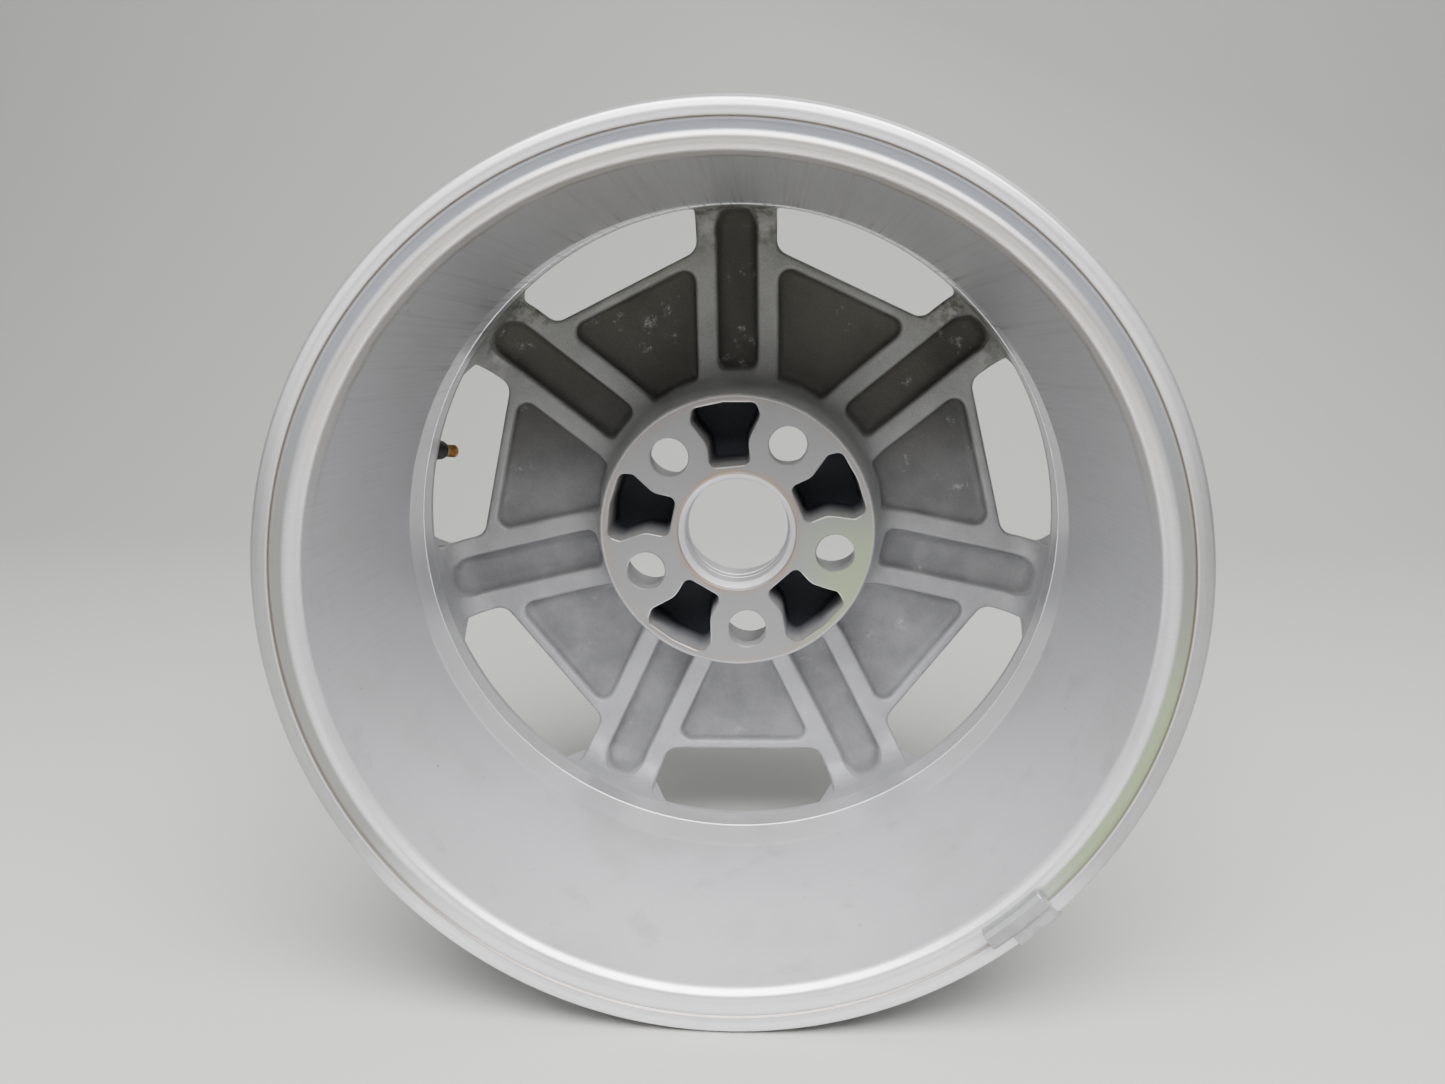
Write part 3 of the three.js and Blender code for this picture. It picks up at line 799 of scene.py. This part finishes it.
def alloy_look():
    look = Look("alloy_look", 1.0)
    split = look.node("SeparateXYZ", look.place).node.outputs
    x, y, z = (look.math("MULTIPLY", split[k], 1 / MM) for k in range(3))
    depth = look.math("SUBTRACT", y, PAD_Y)
    squares = look.math("ADD", look.math("MULTIPLY", x, x), look.math("MULTIPLY", z, z))
    radius = look.math("SQRT", squares)
    angle = look.math("ARCTAN2", z, x)
    recess = look.node("Attribute", out=2, attribute_name="recess")
    up = look.step(z, -120, 170)

    # where the lathe has been: the rim inboard of the spokes, the pad and the bore
    rim = look.math("MULTIPLY", look.step(radius, 168, 176), look.step(depth, 20.5, 18.5))
    pad = look.math("MULTIPLY", look.step(depth, 1.2, 0.6), look.step(radius, 77.4, 76.6))
    bore = look.step(radius, 35.0, 34.6)
    lathed = look.math("MAXIMUM", look.math("MAXIMUM", rim, pad), bore)
    kerb = look.step(depth, 61.8, 63)

    def scaled(first, a, second, b):
        return look.vector(look.math("MULTIPLY", first, a), look.math("MULTIPLY", second, b))

    along = look.math("ADD", radius, look.math("MULTIPLY", depth, 0.83))
    rings = look.noise(scaled(along, 3.2, angle, 5), 1, 4, 0.7)
    brushed = look.noise(scaled(angle, 150, depth, 0.02), 1, 2)
    drips = look.noise(scaled(angle, 62, depth, 0.006), 1, 1)
    mottle = look.noise(look.place, 38, 5, 0.6)
    patches = look.noise(look.place, 11, 3, 0.5)
    grain = look.noise(look.place, 900, 4, 0.65)
    coarse = look.noise(look.place, 240, 3, 0.6)
    high = look.step(z, 20, 150)

    def tint(share, color):
        nonlocal metal
        metal = look.blend(share, metal, color)

    def both(*masks):
        share = masks[0]
        for mask in masks[1:]:
            share = look.math("MULTIPLY", share, mask)
        return share

    # bare turned metal, smudged by handling; lighter low down, partly dirt and partly painted light
    # from above, and with a painted highlight in the drop centre
    metal = look.blend(look.step(rings, 0.25, 0.75), (0.60, 0.60, 0.62), (0.67, 0.67, 0.69))
    tint(look.step(brushed, 0.4, 0.7, 0, 0.25), (0.48, 0.48, 0.50))
    # lighter low down: partly dirt, partly painted light from the lamps above
    tint(both(look.step(z, 20, -150), 0.9), (0.96, 0.96, 0.99))
    tint(look.step(patches, 0.48, 0.7, 0, 0.35), (0.60, 0.585, 0.57))
    tint(look.step(mottle, 0.55, 0.75, 0, 0.3), (0.52, 0.505, 0.51))
    # a lighter ring in the drop centre: a painted highlight where the curved barrel catches the light
    drop_centre = both(look.step(depth, -29, -19), look.step(depth, 4.4, 3.4))
    tint(both(drop_centre, 0.6), (0.92, 0.92, 0.94))
    tint(look.step(depth, 3.4, 5, 0, 0.5), (0.44, 0.44, 0.455))
    # streaks where water has run down from the top
    wet = both(look.step(z, 30, 150), look.step(drips, 0.5, 0.72, 0, 0.7),
               look.step(depth, -60, -24, 0.2, 1))
    tint(wet, (0.22, 0.21, 0.185))
    # darker and olive towards the top of the barrel's inboard half: partly dirt, partly painted shade
    # where the barrel faces down
    dull_and_shaded = both(look.step(z, 60, 190), look.step(depth, -24, -34, 0, 0.35))
    tint(dull_and_shaded, (0.36, 0.35, 0.31))
    scuffs = look.noise(scaled(along, 0.3, angle, 16), 1, 5, 0.75)
    scuffed = both(look.step(scuffs, 0.665, 0.70, 0, 0.75), look.step(depth, -40, -60))
    tint(scuffed, (0.14, 0.135, 0.13))

    # the stained edge where the barrel meets the flange
    uneven = look.noise(look.vector(look.math("MULTIPLY", angle, 9), 0.0), 1, 5, 0.7)
    edge = look.math("ADD", depth, look.math("MULTIPLY_ADD", uneven, 9, -4.5))
    stain = look.step(z, 10, 110)
    cuff = both(look.step(edge, -135, -137.5), look.step(radius, 202, 199), stain)
    tint(look.math("MULTIPLY", cuff, 0.6), (0.70, 0.66, 0.58))
    brim = both(look.step(edge, -139, -136.5), look.step(edge, -132, -135.5), stain)
    tint(both(brim, look.step(mottle, 0.35, 0.6, 0.1, 0.5)), (0.27, 0.245, 0.2))

    # the flange's face: warm crest; a channel painted with reflected light, bright low down, dark at
    # the sides and cool blue at the top; a dark brown line in the step under the lip; and a scuffed lip
    # with painted shade at mid height and painted highlights at the top and bottom
    face = look.step(depth, BACK_FACE + 7, BACK_FACE + 5)
    channel = both(face, look.step(radius, 203.8, 206.2), look.step(radius, 211.2, 210.6))
    crest = both(face, look.step(radius, 199, 201), look.step(radius, 205.5, 203.5))
    tint(both(crest, look.step(high, 0, 1, 0.1, 0.7)), (0.54, 0.51, 0.45))
    # painted reflection in the channel: bright low down, dark at the sides, cool blue at the top
    low = look.step(z, -110, -185)
    level = look.blend(low, (0.20, 0.20, 0.185), (0.95, 0.95, 0.98))
    tint(look.math("MULTIPLY", channel, 0.85), look.blend(high, level, (0.36, 0.38, 0.44)))
    under_lip = both(face, look.step(radius, 210.2, 210.7), look.step(radius, 211.7, 211.3))
    tint(both(under_lip, 0.75), (0.20, 0.16, 0.11))
    lip = both(face, look.step(radius, 211.3, 212.5))
    rubbed = look.noise(scaled(angle, 22, radius, 0.5), 1, 5, 0.75)
    tint(both(lip, look.step(rubbed, 0.52, 0.66, 0, 0.5)), (0.42, 0.38, 0.33))
    # painted shade on the lip at mid height, and painted highlights on it at the top and bottom
    middle = both(lip, look.step(low, 0, 1, 0.75, 0), look.step(high, 0, 1, 1, 0))
    tint(middle, (0.27, 0.27, 0.265))
    tint(both(lip, look.math("MAXIMUM", low, high), 0.7), (0.95, 0.95, 0.97))
    # painted shade on the lip's outer rounding, where it curves away from the light
    tint(both(face, look.step(radius, 217, 219.5, 0, 0.5)), (0.40, 0.37, 0.39))

    # yellowed pad and bore edges, and a green cast low on the right
    tint(look.math("MULTIPLY", pad, 0.9), (0.24, 0.24, 0.243))
    warm = look.math("ADD", look.step(radius, 38, 34.2, 0, 0.7), look.step(radius, 71, 76, 0, 0.25))
    tint(both(warm, pad, look.step(mottle, 0.35, 0.65, 0.35, 1)), (0.38, 0.26, 0.16))
    rim_of_pocket = both(look.step(recess, 0.0, 0.015), look.step(recess, 0.1, 0.05),
                         look.step(radius, 78, 77), 0.6)
    green_pad = both(pad, look.step(x, 25, 62), look.step(z, 20, -14), 0.55)
    green_rim = both(channel, look.step(x, 110, 165), look.step(z, 10, -60),
                     look.step(z, -165, -120), 0.6)
    tint(look.math("MAXIMUM", green_pad, green_rim), (0.36, 0.46, 0.23))

    # the casting's own skin, olive with road dust and painted shade higher up, and its pockets, with
    # dirt and painted shade
    pale = look.blend(look.step(mottle, 0.3, 0.7), (0.34, 0.34, 0.355), (0.42, 0.42, 0.435))
    dusty_and_shaded = look.blend(look.step(mottle, 0.3, 0.7), (0.21, 0.21, 0.19), (0.27, 0.27, 0.25))
    # olive and darker higher up: partly road dust, partly painted shade where the top of the rim shades
    # the disc
    skin = look.blend(up, pale, dusty_and_shaded)
    skin = look.blend(look.step(grain, 0.35, 0.7, 0, 0.25), skin, (0.5, 0.5, 0.49))
    # near-black where the upper spokes meet the rim: partly grime, partly painted shade in the corner
    # there
    ends = both(look.step(radius, 148, 172), look.step(radius, 184, 180), look.step(depth, 60, 57),
                look.step(z, 60, 130))
    grime_and_shade = both(ends, look.step(look.noise(look.place, 95, 5, 0.7), 0.42, 0.62, 0, 0.85))
    skin = look.blend(grime_and_shade, skin, (0.075, 0.072, 0.05))
    # pocket floors darker higher up and lighter low down: partly dirt, partly painted shade and painted
    # light
    dirty_and_shaded = look.blend(look.step(patches, 0.35, 0.65), (0.045, 0.0435, 0.034), (0.08, 0.077, 0.064))
    clean_and_lit = look.blend(look.step(mottle, 0.3, 0.7), (0.175, 0.175, 0.18), (0.25, 0.25, 0.255))
    dim = look.math("SUBTRACT", look.step(z, -50, 130), 0.2)
    shade = look.step(look.math("MULTIPLY_ADD", patches, 0.4, dim), 0.0, 0.9)
    floor = look.blend(shade, clean_and_lit, dirty_and_shaded)
    specks = look.noise(look.place, 46, 6, 0.75)
    salt = both(look.step(specks, 0.6, 0.72), look.step(grain, 0.35, 0.6, 0.3, 1))
    floor = look.blend(look.math("MULTIPLY", salt, 0.65), floor, (0.50, 0.50, 0.49))
    # painted shade: the pad's pockets darken to near black with depth
    pocket_depth_shade = look.blend(look.step(depth, 2, 20), (0.26, 0.265, 0.29), (0.03, 0.032, 0.04))
    floor = look.blend(look.step(radius, 77.5, 76.5), floor, pocket_depth_shade)
    skin = look.blend(recess, skin, floor)
    skin = look.blend(rim_of_pocket, skin, (0.34, 0.26, 0.17))
    paint = look.blend(look.step(grain, 0.3, 0.7), (0.42, 0.425, 0.435), (0.50, 0.505, 0.515))
    skin = look.blend(kerb, skin, paint)

    look.set("Base Color", look.blend(lathed, skin, metal))
    turned_gloss = look.step(rings, 0.25, 0.75, 0.32, 0.42)
    cast_gloss = look.step(grain, 0.3, 0.7, 0.48, 0.68)
    rough = look.step(lathed, 0, 1, cast_gloss, turned_gloss)
    look.set("Roughness", look.math("ADD", rough, look.math("MULTIPLY", recess, 0.1)))
    look.set("Metallic", look.step(recess, 0, 1, look.step(lathed, 0, 1, 0.45, 0.75), 0.15))
    cast = look.math("MULTIPLY", look.math("SUBTRACT", 1.0, lathed), look.step(kerb, 0, 1, 1, 0.15))
    normal = look.lift(look.math("MULTIPLY", look.math("MULTIPLY_ADD", coarse, 1.6, grain), cast), 0.22)
    normal = look.lift(look.math("MULTIPLY", rings, lathed), 0.03, 1.0, normal)
    look.set("Normal", normal)
    return look.material


def rubber_look():
    look = Look("rubber_look", 0.0)
    grain = look.noise(look.place, 1500, 3)
    bloom = look.noise(look.place, 260, 4, 0.6)
    color = look.blend(look.step(bloom, 0.4, 0.7), (0.012, 0.012, 0.012), (0.035, 0.034, 0.032))
    look.set("Base Color", color)
    look.set("Roughness", look.step(grain, 0.3, 0.7, 0.5, 0.75))
    look.set("Normal", look.lift(grain, 0.05))
    return look.material


def metal_look(name, dark, light, metallic, rough, scale, scratch):
    """Plain metal, or rubber, with patches of tarnish and a fine grain."""
    look = Look(name, metallic)
    patches = look.noise(look.place, scale / 6, 4, 0.6)
    fine = look.noise(look.place, scale, 4, 0.7)
    color = look.blend(look.step(patches, 0.35, 0.65), dark, light)
    look.set("Base Color", color)
    look.set("Roughness", look.step(fine, 0.3, 0.7, rough - 0.08, rough + 0.12))
    look.set("Normal", look.lift(fine, scratch))
    return look.material


def dress(piece, look):
    piece.data.materials.clear()
    piece.data.materials.append(look)


dress(wheel, alloy_look())

# ------------------------------------------------------------------ the valve and the weight


def valve_rubber():
    piece = spun("valve_rubber_body", [
        (3.6, -8.4, 0.3), (7.2, -8.4, 1.2), (9.3, -6.6, 0.8), (9.3, -4.7, 0.5), (5.5, -4.7, 0.2),
        (5.5, 0.3, 0.2), (7.4, 0.3, 0.35), (7.35, 1.7, 0.5), (6.95, 2.1, 0.3), (5.5, 10.9, 0.4),
        (5.0, 11.2, 0.2), (4.7, 12.5, 0.4), (3.6, 12.5, 0.15),
    ], VALVE)
    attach(piece, "wheel")
    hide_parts("valve_rubber_stem")
    dress(piece, rubber_look())
    smooth(piece, 40)


THREAD_PITCH = 0.8
THREAD_DEPTH = 0.42
THREAD_LOW = 13.1
THREAD_HIGH = 18.8


def valve_tip():
    """The brass insert, with the screw thread that its dust cap goes on."""
    around = 64
    rows = [(1.9, -7.5), (3.25, -7.5), (3.25, 12.8), (3.5, 12.9)]
    thread = [(3.83, THREAD_LOW + 0.1 * k) for k in range(58)]
    rows += [*thread, (3.6, 19.2), (3.15, 20), (2.75, 20), (2.65, 19.8), (2.65, 8.8), (1.9, 8)]
    points = []
    for k in range(around):
        a = 2 * math.pi * k / around
        for r, h in rows:
            if (r, h) in thread:
                turn = (h / THREAD_PITCH - k / around) % 1
                fade = min(1, (h - THREAD_LOW) / 0.8, (THREAD_HIGH - h) / 0.5)
                r -= THREAD_DEPTH * max(0, fade) * (1 - abs(2 * turn - 1))
            points.append(beside_axis(VALVE, r, a, h))
    piece = mesh_object("valve_brass_tip", points, turned_faces(len(rows), around))
    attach(piece, "wheel")
    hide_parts("valve_brass_insert")
    dress(piece, brass)
    smooth(piece, 40)


def swept(name, corners, middle, half, steps=24, bevel=0.6):
    """A closed bar along the flange, its profile rounded and its ends bevelled."""
    profile = rounded(corners, 5, 60)
    centre = profile.mean(0)
    spoke = profile[:, 0].mean()
    sections = []
    for inset, shrink in ((0, bevel), (0.3 * bevel, 0.3 * bevel), (bevel, 0)):
        sections.append((math.degrees(inset / spoke), shrink))
    angles = [(middle - half + a, s) for a, s in sections]
    inner = np.linspace(middle - half, middle + half, steps + 1)[1:-1]
    angles += [(a, 0) for a in inner]
    angles += [(middle + half - a, s) for a, s in reversed(sections)]
    points = []
    for angle, shrink in angles:
        toward = centre - profile
        toward /= np.linalg.norm(toward, axis=1)[:, None]
        a = math.radians(angle)
        for r, h in profile + toward * shrink:
            points.append((r * math.cos(a), h, r * math.sin(a)))
    n = len(profile)
    faces = [tuple(range(n)), tuple(reversed(range(len(points) - n, len(points))))]
    for k in range(len(angles) - 1):
        for i in range(n):
            j = (i + 1) % n
            faces.append((k * n + i, (k + 1) * n + i, (k + 1) * n + j, k * n + j))
    return mesh_object(name, to_row(points), faces)


WEIGHT_ANGLE = 312.1
WEIGHT_HALF = 4.7
CLIP_ANGLE = 313.4
CLIP_HALF = 3.2


def weight_and_clip():
    b = BACK_FACE
    weight = swept("balance_weight", [
        (202.4, b + 1.95, 0.4), (202.4, b - 3.0, 0.5), (204.4, b - 5.1, 0.5),
        (209.8, b - 5.4, 0.5), (211.7, b - 3.8, 0.5), (212.3, b - 0.3, 0.3),
        (209.3, b + 1.9, 0.3),
    ], WEIGHT_ANGLE, WEIGHT_HALF, 40)
    clip = swept("balance_clip", [
        (212.8, b - 1.4, 0.4), (212.8, b - 0.35, 0.3), (218.2, b + 0.6, 3), (220.75, b + 3.8, 1.2),
        (219.5, b + 7.35, 0.4), (213.6, b + 7.4, 0.3), (213.6, b + 8.3, 0.3),
        (220, b + 8.4, 1.4), (221.9, b + 3.6, 2.2), (218.8, b - 0.4, 4),
    ], CLIP_ANGLE, CLIP_HALF, 30, 0.35)
    zinc = metal_look("weight_look", (0.31, 0.315, 0.315), (0.38, 0.385, 0.39), 0.55, 0.42, 700, 0.03)
    steel = metal_look("clip_look", (0.42, 0.425, 0.43), (0.52, 0.53, 0.54), 0.75, 0.4, 900, 0.03)
    for piece, node, slot, look in ((weight, "balance_weight_body", "weight_zinc", zinc),
                                    (clip, "balance_weight_clip", "clip_steel", steel)):
        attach(piece, "wheel")
        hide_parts(node)
        dress(piece, look)
        smooth(piece, 40)


brass = metal_look("brass_look", (0.30, 0.16, 0.06), (0.52, 0.33, 0.15), 0.9, 0.4, 1400, 0.02)
core_steel = metal_look("core_steel_look", (0.36, 0.37, 0.38), (0.55, 0.56, 0.57), 0.95, 0.3,
                        2500, 0.01)
seal_look = metal_look("core_seal_look", (0.10, 0.012, 0.01), (0.19, 0.03, 0.025), 0.0, 0.6,
                       2500, 0.02)
valve_rubber()
valve_tip()
weight_and_clip()
for node, look in (("valve_core_plug", brass), ("valve_core_barrel", brass),
                   ("valve_core_cup", brass), ("valve_core_pin", core_steel),
                   ("valve_core_spring", core_steel), ("valve_core_gasket", seal_look),
                   ("valve_core_seal", seal_look)):
    dressed = frame["nodes"][node]
    for slot in dressed.material_slots:
        slot.material = look

# ------------------------------------------------------------------ the stage

FLOOR_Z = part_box("wheel_body")[0][2]


def stage_floor():
    """A floor that curves up into a backdrop."""
    profile = rounded([(-2.5, 0, 0), (2.2, 0, 1.2), (2.2, 3.2, 0)], 24, 9, closed=False)
    points = []
    for x in (-4, 4):
        points += [(x, y, FLOOR_Z + z) for y, z in profile]
    n = len(profile)
    faces = [(i, i + n, i + n + 1, i + 1) for i in range(n - 1)]
    mesh = bpy.data.meshes.new("studio_floor")
    mesh.from_pydata(points, [], faces)
    made = bpy.data.objects.new("studio_floor", mesh)
    bpy.context.scene.collection.objects.link(made)
    mesh.shade_smooth()
    look = bpy.data.materials.new("studio_paper")
    look.use_nodes = True
    base = look.node_tree.nodes["Principled BSDF"]
    base.inputs["Base Color"].default_value = (0.50, 0.50, 0.485, 1)
    base.inputs["Roughness"].default_value = 0.9
    mesh.materials.append(look)


def area_light(name, place, target, size, watts):
    lamp = bpy.data.lights.new(name, "AREA")
    lamp.shape = "RECTANGLE"
    lamp.size, lamp.size_y = size
    lamp.energy = watts
    made = bpy.data.objects.new(name, lamp)
    made.location = place
    made.rotation_euler = (Vector(target) - Vector(place)).to_track_quat("-Z", "Y").to_euler()
    bpy.context.scene.collection.objects.link(made)


LENS = 32.36263
EYE = (0.0273, -0.6774, 0.1543)
LOOKS_DOWN = 12.52
LOOKS_LEFT = 2.82


def camera():
    data = bpy.data.cameras.new("camera")
    data.sensor_width = 36
    data.lens = LENS
    made = bpy.data.objects.new("camera", data)
    made.location = EYE
    made.rotation_euler = (math.radians(90 - LOOKS_DOWN), 0, math.radians(LOOKS_LEFT))
    bpy.context.scene.collection.objects.link(made)
    bpy.context.scene.camera = made


stage_floor()
area_light("overhead", (0.1, -1.05, 1.55), (0, 0, 0), (2.2, 1.3), 128)
area_light("front_left", (-1.7, -1.6, 0.9), (0, 0, 0), (1.2, 1.2), 7)
area_light("behind", (0.6, 1.4, 1.3), (0, 0, 0), (1.6, 1.2), 10)
world = bpy.data.worlds.new("studio")
world.use_nodes = True
world.node_tree.nodes["Background"].inputs["Color"].default_value = (0.86, 0.86, 0.89, 1)
world.node_tree.nodes["Background"].inputs["Strength"].default_value = 0.23
bpy.context.scene.world = world
camera()
